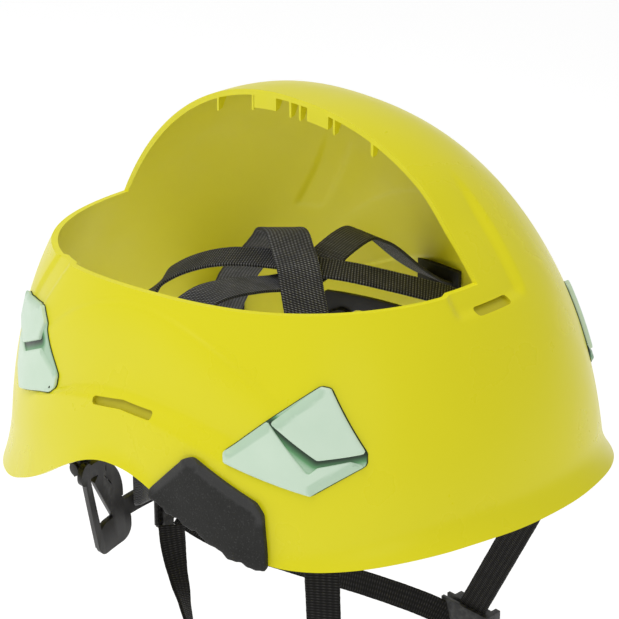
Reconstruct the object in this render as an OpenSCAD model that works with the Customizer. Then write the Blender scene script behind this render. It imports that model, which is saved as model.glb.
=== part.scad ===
// Climbing helmet: a hard shell with the right upper quarter cut away to show the
// webbing cradle, headband, nape adjuster, chin straps and buckle inside it.
// Z is up, the front faces -Y and the wearer's right side is -X.

/* [Shell] */
// Half width of the plain dome near its rim
half_width = 100; // [95:1:105]
// Half length of the plain dome near its rim
half_length = 129; // [122:1:134]
// Height of the crown above the centre of the head opening
crown_height = 156; // [150:1:162]
// Wall thickness
wall = 2.6; // [2:0.1:3.2]
// How far the front peak turns outward
front_lip = 5.6; // [4:0.2:8]
// How far the rear brim turns outward
rear_lip = 5; // [4:0.5:8]
// Depth of the panel between the two side ridges
side_panel = 3.2; // [1.5:0.1:4]
// Height of the cutaway plane above the origin, on the midline
cut_height = 92; // [88:1:96]

/* [Cradle] */
// Width of the cradle webbing
webbing_width = 19; // [16:1:22]
// Thickness of all the webbing
webbing_thick = 1.5; // [1.2:0.1:1.8]
// Half width of the headband, inside
band_half_width = 80; // [76:1:84]
// Half length of the headband, inside
band_half_length = 104; // [100:1:108]
// Height of the headband
band_height = 27; // [24:1:30]

/* [Nape adjuster] */
// Radius of the curved nape frame, inside
nape_radius = 130; // [126:1:134]
// Radius of the adjusting wheels
wheel_radius = 8; // [7.5:0.5:9]

/* [Chin strap] */
// Width of the chin webbing
chin_width = 15; // [14:1:16]
// Length of the lower strap between adjuster and buckle
lower_length = 84; // [70:2:100]

/* [Hidden] */

$fn = 48;
right = -1;
left = 1;
yellow = "#e6e01e";
pale_green = "#d7ead6";
black = "#2b2b2b";
web_black = "#1c1d1f";
grey = "#4a4a4a";

// Dome: superellipse rings that close towards the crown by profile_q. The front half is
// rounder and a little shorter than the rear half.
rear_n = 2.42;
front_n = 2.2;
front_length = half_length - 2;
profile_q = 2.28;
taper = 0.125;
columns = 96;
levels = 24;

function clamp(v, low, high) = min(high, max(low, v));
function step_up(a, b, v) = let (t = clamp((v - a) / (b - a), 0, 1)) t * t * (3 - 2 * t);
function signed_power(v, p) = sign(v) * pow(abs(v), p);
function ring(z) =
  pow(1 - pow(clamp(z / crown_height, 0, 1), profile_q), 1 / profile_q)
  * (1 + taper * (1 - clamp(z / crown_height, -1, 1)));
function power_at(y) = y < 0 ? front_n : rear_n;
function length_at(y) = y < 0 ? front_length : half_length;
function plain(phi, z) =
  let (n = power_at(sin(phi)))
  [
    signed_power(cos(phi), 2 / n) * half_width * ring(z),
    signed_power(sin(phi), 2 / n) * length_at(sin(phi)) * ring(z),
    z
  ];
function unit(v) = v / max(norm(v), 0.000001);
function outward(p) =
  let (n = power_at(p[1]), long = length_at(p[1]))
  unit([
    signed_power(p[0] / half_width, n - 1) / half_width,
    signed_power(p[1] / long, n - 1) / long,
    -pow(ring(p[2]), n - 1) * (ring(p[2] + 0.5) - ring(p[2] - 0.5))
  ]);

// Angle from the rear midline, 0 at the rear and 180 at the front, the same on both sides.
function from_rear(phi) = let (a = abs(phi - 90)) a > 180 ? 360 - a : a;

// Height of the rim against the angle from the rear midline.
RIM = [
  [0, -38], [30, -36], [45, -32], [58, -25], [70, -11], [76, 0], [82, 11], [87, 19], [91, 21],
  [96, 17], [104, 9], [112, 3], [120, -1], [128, -1], [138, 2.4], [150, 7.5], [164, 11.5], [180, 12]
];
function rim_z(phi) = lookup(from_rear(phi), RIM);

// Lip: how far it turns out and how tall it is, against the angle from the rear midline.
LIP_OUT = [
  [0, rear_lip], [45, rear_lip - 2], [70, 2.5], [90, 1.5], [110, 0],
  [135, front_lip / 2], [150, front_lip - 0.7], [165, front_lip], [180, front_lip]
];
LIP_TALL = [[0, 34], [50, 26], [70, 14], [90, 8], [110, 8], [130, 9.5], [150, 12], [180, 12]];
function lip(phi, z) =
  let (a = from_rear(phi), h = clamp((z - rim_z(phi)) / lookup(a, LIP_TALL), 0, 1))
  lookup(a, LIP_OUT) * pow(1 - h, 2);

// Side terraces, seen from the side as curves of z against y: the surface sinks towards an
// upper arch, steps out below it, sinks again down the side panel and steps out at a lower band.
function arch_z(y) = 89.5 - (y > 0 ? 0.0068 : 0.0041) * y * y;
function band_top_z(y) = 54 - (y > -15 ? 0.0037 : 0.0019) * pow(y + 15, 2);
function band_low_z(y) = band_top_z(y) - 9 + 0.075 * y;
function side_inset(p) =
  let (below = arch_z(p[1]) - p[2])
  (1.7 * step_up(-26, 0, below) - 1.1 * step_up(0.3, 4.2, below) + (side_panel - 0.6) * step_up(4, 34, below))
  * step_up(band_low_z(p[1]), band_top_z(p[1]) - 1.5, p[2])
  * (1 - step_up(52, 84, p[1])) * (1 - step_up(60, 92, -p[1])) * step_up(50, 70, abs(p[0]));

// Flat valley that runs down to the rear lamp clip on each side.
function rear_facet(p) =
  1.3 * (1 - step_up(5.5, 7.2, abs(p[1] - 69 - (85 - p[2]) * 0.66)))
  * step_up(56, 62, p[2]) * (1 - step_up(88, 112, p[2])) * step_up(40, 55, abs(p[0]));

// Panel on the forehead, 42 wide, with its lower edge at 95.
function front_inset(p) =
  p[1] > 0 ? 0
    : 2.6 * (1 - step_up(17, 22, abs(p[0]))) * step_up(94, 99, p[2]) * (1 - step_up(122, 140, p[2]));

function relief(p, phi) = lip(phi, p[2]) - side_inset(p) - front_inset(p) - rear_facet(p);
function skin(phi, z, offset) = let (p = plain(phi, z)) p + outward(p) * (relief(p, phi) + offset);

function level_z(phi, j, count) = let (low = rim_z(phi)) low + (crown_height - low) * sin(90 * j / count);

// Closed wall between two offsets of the dome.
module dome_wall(outer, inner) {
  ring_points = [
    for (offset = [outer, inner])
      for (j = [0 : levels - 1])
        for (i = [0 : columns - 1])
          let (phi = 360 * i / columns) skin(phi, level_z(phi, j, levels), offset)
  ];
  poles = [[0, 0, crown_height + outer], [0, 0, crown_height + inner]];
  inner_start = levels * columns;
  pole_start = 2 * levels * columns;
  function around(i) = i % columns;
  walls = [
    for (j = [0 : levels - 2])
      for (i = [0 : columns - 1])
        let (a = j * columns + i, b = j * columns + around(i + 1))
          each [[a, a + columns, b + columns], [a, b + columns, b],
                [inner_start + a, inner_start + b + columns, inner_start + a + columns],
                [inner_start + a, inner_start + b, inner_start + b + columns]]
  ];
  caps = [
    for (i = [0 : columns - 1])
      let (top = (levels - 1) * columns, a = top + i, b = top + around(i + 1))
        each [[a, pole_start, b], [inner_start + b, pole_start + 1, inner_start + a]]
  ];
  rim = [
    for (i = [0 : columns - 1])
      let (a = i, b = around(i + 1))
        each [[a, b, inner_start + b], [a, inner_start + b, inner_start + a]]
  ];
  polyhedron(points = concat(ring_points, poles), faces = concat(walls, caps, rim), convexity = 8);
}

// Closed block that follows the dome between two angles, two heights and two offsets.
module dome_patch(phi_a, phi_b, z_a, z_b, outer, inner, across = 12, up = 12) {
  pts = [
    for (offset = [outer, inner])
      for (j = [0 : up])
        for (i = [0 : across])
          skin(phi_a + (phi_b - phi_a) * i / across, z_a + (z_b - z_a) * j / up, offset)
  ];
  row = across + 1;
  layer = row * (up + 1);
  function at(k, j, i) = k * layer + j * row + i;
  faces_out = [
    for (j = [0 : up - 1])
      for (i = [0 : across - 1])
        each [[at(0, j, i), at(0, j + 1, i), at(0, j + 1, i + 1)], [at(0, j, i), at(0, j + 1, i + 1), at(0, j, i + 1)],
              [at(1, j, i), at(1, j + 1, i + 1), at(1, j + 1, i)], [at(1, j, i), at(1, j, i + 1), at(1, j + 1, i + 1)]]
  ];
  faces_low = [
    for (i = [0 : across - 1])
      each [[at(0, 0, i), at(0, 0, i + 1), at(1, 0, i + 1)], [at(0, 0, i), at(1, 0, i + 1), at(1, 0, i)],
            [at(0, up, i), at(1, up, i + 1), at(0, up, i + 1)], [at(0, up, i), at(1, up, i), at(1, up, i + 1)]]
  ];
  faces_side = [
    for (j = [0 : up - 1])
      each [[at(0, j, 0), at(1, j + 1, 0), at(0, j + 1, 0)], [at(0, j, 0), at(1, j, 0), at(1, j + 1, 0)],
            [at(0, j, across), at(0, j + 1, across), at(1, j + 1, across)],
            [at(0, j, across), at(1, j + 1, across), at(1, j, across)]]
  ];
  polyhedron(points = pts, faces = concat(faces_out, faces_low, faces_side), convexity = 6);
}

// Block above and right of the cutaway's two faces.
cut_slope = 6.4;
cut_x = -1.5;
module cutaway() {
  translate([cut_x - 200, 0, cut_height])
    rotate([-cut_slope, 0, 0])
      translate([0, -200, 0])
        cube([200, 400, 120]);
}

// Ribs under the crown, beside the cut face: [y, thickness along y, depth below the shell].
RIBS = [
  [56, 1.2, 6], [33, 1.2, 7], [25, 14, 6], [9, 1.2, 7],
  [3, 1.2, 7], [-8, 13, 6], [-18, 1.2, 7], [-41, 1.4, 6]
];
module crown_ribs() {
  for (rib = RIBS) {
    z = crown_height * pow(1 - pow(abs(rib[0]) / half_length, profile_q), 1 / profile_q) - wall;
    hull() {
      translate([cut_x, rib[0] - rib[1] / 2, z - rib[2]])
        cube([3, rib[1], 1]);
      translate([cut_x, rib[0] - rib[1] / 2, z])
        cube([6, rib[1], 1]);
    }
  }
}

module shell() {
  color(yellow)
    union() {
      difference() {
        dome_wall(0, -wall);
        cutaway();
      }
      crown_ribs();
    }
}

// Outline in the side view, extruded through one side wall.
module side_prism() {
  translate([-140, 0, 0])
    rotate([90, 0, 90])
      linear_extrude(100)
        children();
}
// Draws right-hand geometry on either side.
module on_side(side) {
  mirror([side > 0 ? 1 : 0, 0, 0])
    children();
}

// Snap-in cover over the earmuff slot, standing proud of the shell.
COVER = [
  [-19.5, 15.5], [-37, 35.5], [-41, 37.5], [-45, 36], [-72, 25.5], [-75.5, 21],
  [-79.5, -3], [-64, -1], [-46.5, 6.5], [-30, 11.5]
];
module slot_cover(side) {
  color(black)
    on_side(side)
      intersection() {
        dome_patch(178, 218, -10, 42, 3, 0.1);
        side_prism() polygon(COVER);
      }
}

// Lamp clips: two wedges on a thin base, with a groove between them for a lamp's strap.
FRONT_UPPER = [[-71.5, 59], [-85.5, 75.5], [-89, 75], [-106, 51], [-101, 49.5], [-91.5, 47]];
FRONT_LOWER = [
  [-55.5, 39], [-54, 43], [-70, 59.5], [-89.5, 40.5], [-92, 44], [-102, 47.5], [-107, 46], [-91.5, 32]
];
REAR_UPPER = [[101, 57], [74, 63], [68, 58], [69, 50], [86, 41], [98, 47]];
REAR_LOWER = [[95, 43], [84, 38], [67, 47], [54, 40], [55, 32], [86, 20], [92, 28]];
module lamp_clip(side, phi_a, phi_b, z_a, z_b, upper, lower) {
  color(pale_green)
    on_side(side)
      union() {
        intersection() {
          dome_patch(phi_a, phi_b, z_a, z_b, 1.6, 0.1);
          side_prism() polygon(upper);
        }
        intersection() {
          dome_patch(phi_a, phi_b, z_a, z_b, 1.3, 0.1);
          side_prism() polygon(lower);
        }
        intersection() {
          dome_patch(phi_a, phi_b, z_a, z_b, 0.5, 0.1);
          side_prism() hull() { polygon(upper); polygon(lower); }
        }
      }
}
module front_clip(side) { lamp_clip(side, 196, 254, 30, 80, FRONT_UPPER, FRONT_LOWER); }
module rear_clip(side) { lamp_clip(side, 106, 164, 16, 68, REAR_UPPER, REAR_LOWER); }

// Flat webbing swept along a path; across is the width direction at the first and last point.
module webbing(path, across_a, across_b, width, thick = webbing_thick) {
  last = len(path) - 1;
  function along(i) = unit(path[min(i + 1, last)] - path[max(i - 1, 0)]);
  function flat(i) = let (w = across_a + (across_b - across_a) * i / last, t = along(i)) unit(w - t * (w * t));
  corners = [[-1, -1], [1, -1], [1, 1], [-1, 1]];
  pts = [
    for (i = [0 : last])
      for (c = corners)
        path[i] + flat(i) * c[0] * width / 2 + cross(along(i), flat(i)) * c[1] * thick / 2
  ];
  sides = [
    for (i = [0 : last - 1])
      for (k = [0 : 3])
        let (a = 4 * i + k, b = 4 * i + (k + 1) % 4)
          each [[a, a + 4, b + 4], [a, b + 4, b]]
  ];
  z = 4 * last;
  ends = [[0, 1, 2], [0, 2, 3], [z + 2, z + 1, z], [z + 3, z + 2, z]];
  polyhedron(points = pts, faces = concat(sides, ends), convexity = 4);
}
function mirrored(p, side) = [p[0] * -side, p[1], p[2]];

// Suspension anchors sit on the shell's inner wall at an angle and a height, right-hand side.
clip_gap = 4;
function on_inner_wall(phi, z) =
  let (p = skin(phi, z, -wall), n = unit([outward(p)[0], outward(p)[1], 0]))
  p - n * clip_gap;
FRONT_ANCHOR = on_inner_wall(226, 26);
SIDE_ANCHOR = on_inner_wall(176, 36);
REAR_ANCHOR = on_inner_wall(119, -8);
CHIN_ANCHOR = on_inner_wall(221, 8);

// Cradle straps over the head. The side strap passes lowest, the strap from the rear right to
// the front left lies over it, and the strap from the front right folds over both.
LOW_ROUTE = concat(
  [REAR_ANCHOR],
  [[-46, 95, 28], [-34, 67, 53], [-31, 59, 64], [-25.5, 46, 73], [-19, 30, 79], [-10, 10, 81.5], [-5, -3, 81.5]],
  [[-1, -8, 80.5], [7, -20, 79.5], [16, -32, 77], [27, -47, 73.5], [35, -58, 70], [52, -76, 57], [66, -91, 40]],
  [mirrored(FRONT_ANCHOR, left)]
);
SIDE_ROUTE = concat(
  [SIDE_ANCHOR],
  [[-91, 13, 55], [-76, 10, 69], [-60, 7, 77], [-50, 5.5, 79.5], [-34, 2.5, 78.5], [-17, -1, 75.5], [-5, -3, 75]],
  [[6, -1, 76.5], [18, 1, 80.5], [35, 4, 82], [46, 6, 77], [57, 8, 69.5], [76, 11, 53], [92, 14, 41]],
  [mirrored(SIDE_ANCHOR, left)]
);
HIGH_ROUTE = concat(
  [FRONT_ANCHOR],
  [[-62, -80, 48], [-48, -60, 64], [-34, -40, 66], [-23, -24.5, 67.5], [-18, -16, 76], [-13, -8, 84], [-8, 0.5, 88]],
  [[-1, 12, 91], [5, 24, 87], [10, 34, 78], [22, 56, 60], [38, 86, 36], [51, 110, 10]],
  [mirrored(REAR_ANCHOR, left)]
);
module cradle(route, across) {
  color(web_black)
    webbing(route, across, across, webbing_width);
}
module cradle_strap_low() {
  cradle(LOW_ROUTE, [1, 0.7, 0]);
}
module cradle_strap_side() {
  cradle(SIDE_ROUTE, [0, 1, 0]);
}
module cradle_strap_high() {
  cradle(HIGH_ROUTE, [0.72, -0.69, 0]);
}

// Plastic clip that holds a webbing end and pegs into the shell wall.
module anchor_clip(phi, z) {
  n = outward(skin(phi, z, 0));
  color(black)
    translate(on_inner_wall(phi, z))
      rotate([0, 0, atan2(n[1], n[0]) - 90])
        union() {
          translate([-13, 0, -7])
            cube([26, 2.6, 14]);
          translate([-8, 2.6, -4])
            cube([16, clip_gap - 2.2, 8]);
        }
}
module anchor_front(side) { on_side(side) anchor_clip(226, 26); }
module anchor_side(side) { on_side(side) anchor_clip(176, 36); }
module anchor_rear(side) { on_side(side) anchor_clip(119, -8); }
module chin_anchor(side) { on_side(side) anchor_clip(221, 8); }

// Rounded rectangle in 2D, centred.
module round_rect(w, h, r) {
  square([w - 2 * r, h], center = true);
  square([w, h - 2 * r], center = true);
  for (x = [-1, 1])
    for (y = [-1, 1])
      translate([x * (w / 2 - r), y * (h / 2 - r)])
        circle(r);
}

// Elliptical band around the head, open at the rear.
band_low = 0;
band_thick = 2;
module oval(grow) {
  polygon([for (a = [0 : 5 : 355]) [(band_half_width + grow) * cos(a), (band_half_length + grow) * sin(a) - 4]]);
}
module oval_wall(inner, outer, low, tall, y_from, y_to) {
  translate([0, 0, low])
    linear_extrude(tall)
      intersection() {
        difference() {
          oval(outer);
          oval(inner);
        }
        translate([-120, y_from])
          square([240, y_to - y_from]);
      }
}
module headband() {
  color(black)
    difference() {
      union() {
        oval_wall(0, band_thick, band_low, band_height, -120, 56);
        for (side = [right, left]) {
          translate([side > 0 ? 81 : -98, 3, 22])
            cube([17, 10, 2.4]);
          translate([0, -4, 22])
            rotate([0, 0, side > 0 ? -52 : 232])
              translate([93, -6, 0])
                cube([25, 12, 2.4]);
        }
      }
      for (y = [-30, 30])
        translate([-100, y, band_low + band_height / 2])
          rotate([90, 0, 90])
            linear_extrude(200)
              round_rect(30, 12, 5.9);
      translate([0, -60, band_low + band_height / 2])
        rotate([90, 0, 0])
          linear_extrude(60)
            round_rect(24, 10, 4.9);
      for (side = [0, 1])
        mirror([side, 0, 0])
          on_band()
            translate([-6, 0, 0])
              rotate([0, 90, 0])
                cylinder(r = 2.05, h = 12);
    }
}
module brow_pad() {
  color(grey)
    oval_wall(-6.3, -0.3, band_low + 3, band_height - 6, -112, -46);
}

// Nape adjuster. The frame slides on two racks at slide_tilt below the horizontal.
slide_tilt = 30;
wheel_y = 107;
wheel_z = -47;
arm_x = 46.9;
arm_thick = 2.2;
pinion_radius = 5;
pinion_teeth = 10;
tooth_pitch = 2 * PI * pinion_radius / pinion_teeth;
nape_centre_y = -26;
nape_thick = 3;

// Side-view drawing turned so that x runs down the rack and y points away from the pinion.
module rack_view(x, thick) {
  translate([x, wheel_y, wheel_z])
    rotate([90, 0, 90])
      linear_extrude(thick)
        rotate(-slide_tilt)
          children();
}
module rack_profile() {
  translate([-30, pinion_radius + 1.1])
    square([43, 6]);
  for (k = [-5 : 3])
    translate([k * tooth_pitch, pinion_radius])
      polygon([[-1, 1.2], [-0.45, -0.9], [0.45, -0.9], [1, 1.2]]);
}
// The arm's front plate lies flat against the headband, turned by arm_turn, and the rivet joins them.
rivet = [69.2, 48, 13];
arm_turn = 27;
module on_band() {
  translate(rivet)
    rotate([0, 0, arm_turn])
      children();
}
module side_arm(side) {
  color(black)
    on_side(side)
      mirror([1, 0, 0])
        difference() {
          union() {
            rack_view(arm_x, arm_thick) rack_profile();
            on_band()
              translate([-2.4, 0, 0])
                rotate([90, 0, 90])
                  linear_extrude(arm_thick)
                    union() {
                      circle(6);
                      polygon([[-3, 5], [5, 4.5], [46, -33], [46, -43], [38, -39], [-4, -4.4]]);
                    }
          }
          on_band()
            translate([-6, 0, 0])
              rotate([0, 90, 0])
                cylinder(r = 2.05, h = 8);
        }
}
module arm_rivet(side) {
  color(grey)
    on_side(side)
      mirror([1, 0, 0])
        on_band()
          translate([-4, 0, 0])
            rotate([0, 90, 0])
              union() {
                cylinder(r = 2, h = 7.6);
                cylinder(r = 4, h = 1.5);
                translate([0, 0, 6.4])
                  cylinder(r = 3, h = 1.2);
              }
}

// Front-view outline of the nape frame's left half.
module nape_half() {
  translate([57, -42]) circle(5.4);
  polygon([[54.6, -42], [59.4, -42], [48, -88], [43, -88]]);
  translate([34.5, -85]) round_rect(26, 17, 6.9);
  polygon([[50, -50], [45, -46], [22, -76], [24, -88], [30, -86]]);
  intersection() {
    translate([54, -66])
      difference() {
        circle(27);
        circle(20);
      }
    translate([20, -68]) square([33, 40]);
  }
  translate([0, -81]) square([30, 10]);
  translate([0, -97]) square([3, 20]);
}
module nape_wall(inner, thick) {
  intersection() {
    translate([0, nape_centre_y, -110])
      difference() {
        cylinder(r = inner + thick, h = 80, $fn = 96);
        translate([0, 0, -1])
          cylinder(r = inner, h = 82, $fn = 96);
      }
    translate([0, 120, 0])
      rotate([90, 0, 0])
        linear_extrude(70)
          children();
  }
}
module both_halves() {
  children();
  mirror([1, 0]) children();
}
// Bracket behind the nape wall that carries the wheel's axle beside the rack.
cheek_x = 37;
cheek_thick = 2.6;
axle_radius = 1.95;
module cheek() {
  translate([cheek_x, 0, 0])
    rotate([90, 0, 90])
      linear_extrude(cheek_thick)
        polygon([[wheel_y - 8, wheel_z - 7], [wheel_y + 5, wheel_z - 4], [wheel_y + 5, wheel_z + 4], [wheel_y - 8, wheel_z + 3]]);
  translate([cheek_x, wheel_y, wheel_z])
    rotate([0, 90, 0])
      cylinder(r = axle_radius, h = 15);
  translate([cheek_x + 13.6, wheel_y, wheel_z])
    rotate([0, 90, 0])
      cylinder(r = 3.2, h = 1.6);
}
// Loop on the inside of the frame's middle, which the nape webbing runs through.
loop_depth = 5;
module strap_loop() {
  nape_wall(nape_radius - loop_depth, 1.6) translate([-3, -97.5]) square([6, 18.7]);
  nape_wall(nape_radius - loop_depth, loop_depth + 2) translate([-3, -97.5]) square([6, 1.8]);
  nape_wall(nape_radius - loop_depth, loop_depth + 2) translate([-3, -80.6]) square([6, 1.8]);
}
module nape_frame() {
  color(black)
    union() {
      difference() {
        nape_wall(nape_radius, nape_thick) both_halves() nape_half();
        for (side = [right, left])
          translate([side > 0 ? cheek_x + cheek_thick : -cheek_x - cheek_thick - 7.6, wheel_y, wheel_z])
            rotate([0, 90, 0])
              cylinder(r = wheel_radius + 1.4, h = 7.6);
      }
      cheek();
      mirror([1, 0, 0]) cheek();
      strap_loop();
    }
}
module nape_pad() {
  color(grey)
    nape_wall(nape_radius - 6.3, 6) translate([0, -68]) round_rect(40, 20, 7);
}
module nape_webbing() {
  color(web_black)
    nape_wall(nape_radius - 2.4, webbing_thick) translate([0, -88]) square([11, chin_width - 2], center = true);
}
module wheel(side) {
  color(black)
    on_side(side)
      mirror([1, 0, 0])
        difference() {
          union() {
            rack_view(cheek_x + 8.9, 4.4) pinion_profile();
            translate([cheek_x + 3, wheel_y, wheel_z])
              rotate([0, 90, 0])
                cylinder(r = wheel_radius, h = 6);
            for (k = [0 : 11])
              translate([cheek_x + 3, wheel_y, wheel_z])
                rotate([30 * k, 0, 0])
                  translate([0, wheel_radius, 0])
                    rotate([0, 90, 0])
                      cylinder(r = 0.8, h = 6, $fn = 24);
          }
          translate([cheek_x + 2.6, wheel_y, wheel_z])
            rotate([0, 90, 0])
              cylinder(r = axle_radius + 0.05, h = 12);
        }
}
module pinion_profile() {
  circle(pinion_radius - 1.4);
  for (k = [0 : pinion_teeth - 1])
    rotate(360 / pinion_teeth * (k + 0.5))
      translate([0, pinion_radius])
        polygon([[-1, -1.7], [1, -1.7], [0.36, 0.8], [-0.36, 0.8]]);
}

// Chin strap, one set on each side: the front strap hangs from the shell, the rear strap
// comes from the nape, and both meet in an adjuster above the lower strap.
REAR_START = [[-7.2, 89, -88], [8.2, 100.6, -92]];
ADJUSTER = [[-86, -104, -120], [80, -30, -133]];
REAR_ROUTE = [
  concat(
    [REAR_START[0]],
    [[-7.2, 88, -98], [-8, 85, -109], [-11, 78, -119], [-22, 56, -138], [-42, 18, -157], [-64, -34, -157]],
    [[-79, -78, -140], [-86, -98, -126]]
  ),
  concat(
    [REAR_START[1]],
    [[21, 82, -104], [40, 48, -111.5], [57, 14, -116.5], [71, -10, -123], [80, -24, -130]]
  )
];
REAR_ACROSS = [[[0.8, -0.6, 0], [0, 0.3, 1]], [[0, 0.2, 1], [0, 0.3, 1]]];
FRONT_ACROSS = [[[0.6, -0.8, 0], [0, -1, 0]], [[0, 1, 0.2], [0, 1, 0]]];
function pick(side) = side < 0 ? 0 : 1;
function front_route(side) =
  let (top = mirrored(CHIN_ANCHOR, side) + [side * -2, 2, -8], low = ADJUSTER[pick(side)] + [0, 0, 9])
    [for (i = [0 : 6]) top + (low - top) * i / 6];
module strap_front(side) {
  color(web_black)
    webbing(front_route(side), FRONT_ACROSS[pick(side)][0], FRONT_ACROSS[pick(side)][1], chin_width);
}
module strap_rear(side) {
  color(web_black)
    webbing(REAR_ROUTE[pick(side)], REAR_ACROSS[pick(side)][0], REAR_ACROSS[pick(side)][1], chin_width - 2);
}
lever_x = 6.4;
module adjuster(side) {
  at = ADJUSTER[pick(side)];
  color(black)
    translate(at)
      scale([side, 1, 1])
        union() {
          difference() {
            translate([-3, -15, -15])
              cube([6, 30, 30]);
            translate([-1.2, -9, -16])
              cube([2.4, 26, 32]);
          }
          for (y = [-13, 10])
            translate([3, y, 5.5])
              cube([6.2, 3, 8]);
          translate([lever_x, -13, 9.5])
            rotate([-90, 0, 0])
              cylinder(r = 1.5, h = 26);
        }
}
module lever(side) {
  at = ADJUSTER[pick(side)];
  color(black)
    translate(at)
      scale([side, 1, 1])
        difference() {
          union() {
            translate([lever_x, -9.6, 9.5])
              rotate([-90, 0, 0])
                cylinder(r = 2.8, h = 19.2);
            translate([4.8, -9.6, -13])
              cube([2.4, 19.2, 21]);
          }
          translate([lever_x, -11, 9.5])
            rotate([-90, 0, 0])
              cylinder(r = 1.55, h = 22);
        }
}
function lower_end(side) = ADJUSTER[pick(side)] + [0, 0, -15 - lower_length];
module strap_lower(side) {
  at = ADJUSTER[pick(side)];
  color(web_black)
    webbing([for (i = [0 : 6]) at + [0, 0, -10] + (lower_end(side) - at - [0, 0, -4]) * i / 6], [0, 1, 0], [0, 1, 0], chin_width);
}
// Side-release buckle: the plug hangs on the right and the socket on the left.
module buckle_plug() {
  color(black)
    translate(lower_end(right))
      union() {
        difference() {
          translate([-4, -14, -10])
            cube([8, 28, 12]);
          translate([-1.3, -9, -2])
            cube([2.6, 18, 6]);
        }
        translate([-1.5, -4, -26])
          cube([3, 8, 17]);
        for (side = [-1, 1])
          translate([-2, side * 9.5 - 1.75, -30])
            cube([4, 3.5, 21]);
      }
}
module buckle_socket() {
  color(black)
    translate(lower_end(left))
      difference() {
        translate([-5, -15, -34])
          cube([10, 30, 36]);
        translate([-1.3, -9, -4])
          cube([2.6, 18, 8]);
        translate([-2.8, -12, -35])
          cube([5.6, 24, 27]);
        translate([2, 0, -20])
          rotate([0, 90, 0])
            cylinder(r = 5.05, h = 5);
      }
}
module buckle_button() {
  color("#b03a2e")
    translate(lower_end(left) + [2.85, 0, -20])
      rotate([0, 90, 0])
        cylinder(r = 5, h = 3.6);
}

shell();
slot_cover(right);  // slot_cover_right
slot_cover(left);  // slot_cover_left
front_clip(right);  // lamp_clip_front_right
front_clip(left);  // lamp_clip_front_left
rear_clip(right);  // lamp_clip_rear_right
rear_clip(left);  // lamp_clip_rear_left
headband();
brow_pad();
anchor_front(right);  // anchor_front_right
anchor_front(left);  // anchor_front_left
anchor_side(right);  // anchor_side_right
anchor_side(left);  // anchor_side_left
anchor_rear(right);  // anchor_rear_right
anchor_rear(left);  // anchor_rear_left
chin_anchor(right);  // chin_anchor_right
chin_anchor(left);  // chin_anchor_left
cradle_strap_low();
cradle_strap_side();
cradle_strap_high();
side_arm(right);  // side_arm_right
side_arm(left);  // side_arm_left
arm_rivet(right);  // arm_rivet_right
arm_rivet(left);  // arm_rivet_left
nape_frame();
nape_pad();
nape_webbing();
wheel(right);  // wheel_right
wheel(left);  // wheel_left
strap_front(right);  // strap_front_right
strap_rear(right);  // strap_rear_right
adjuster(right);  // adjuster_right
lever(right);  // lever_right
strap_lower(right);  // strap_lower_right
strap_front(left);  // strap_front_left
strap_rear(left);  // strap_rear_left
adjuster(left);  // adjuster_left
lever(left);  // lever_left
strap_lower(left);  // strap_lower_left
buckle_plug();
buckle_socket();
buckle_button();
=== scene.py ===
"""Climbing helmet: the looks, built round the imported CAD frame.

Shapes are worked out in the CAD's own millimetres, and become metres when a mesh is made.
"""

import math

import bmesh
import bpy
import numpy as np
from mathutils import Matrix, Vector
from mathutils.geometry import delaunay_2d_cdt


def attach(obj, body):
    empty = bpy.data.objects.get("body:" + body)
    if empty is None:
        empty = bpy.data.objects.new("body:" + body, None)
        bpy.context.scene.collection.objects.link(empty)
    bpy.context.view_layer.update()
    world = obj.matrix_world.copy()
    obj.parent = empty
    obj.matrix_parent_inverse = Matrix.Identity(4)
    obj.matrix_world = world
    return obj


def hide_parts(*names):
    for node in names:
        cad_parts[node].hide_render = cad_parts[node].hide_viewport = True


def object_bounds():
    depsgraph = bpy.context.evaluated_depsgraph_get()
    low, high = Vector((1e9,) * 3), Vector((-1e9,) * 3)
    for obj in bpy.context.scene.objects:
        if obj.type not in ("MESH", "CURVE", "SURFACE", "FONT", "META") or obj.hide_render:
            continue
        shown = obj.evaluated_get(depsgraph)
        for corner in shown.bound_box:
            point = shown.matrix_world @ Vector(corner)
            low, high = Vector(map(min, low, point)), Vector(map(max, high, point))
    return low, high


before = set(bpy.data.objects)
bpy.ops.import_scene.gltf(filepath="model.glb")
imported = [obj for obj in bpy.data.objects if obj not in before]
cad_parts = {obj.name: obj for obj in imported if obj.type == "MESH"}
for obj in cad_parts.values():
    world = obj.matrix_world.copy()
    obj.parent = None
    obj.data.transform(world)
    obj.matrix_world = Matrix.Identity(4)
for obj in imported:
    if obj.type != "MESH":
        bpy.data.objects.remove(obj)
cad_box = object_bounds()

MM = 0.001
RIGHT, LEFT = -1, 1
SIDES = {"right": RIGHT, "left": LEFT}


# ---------------------------------------------------------------- meshes

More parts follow.
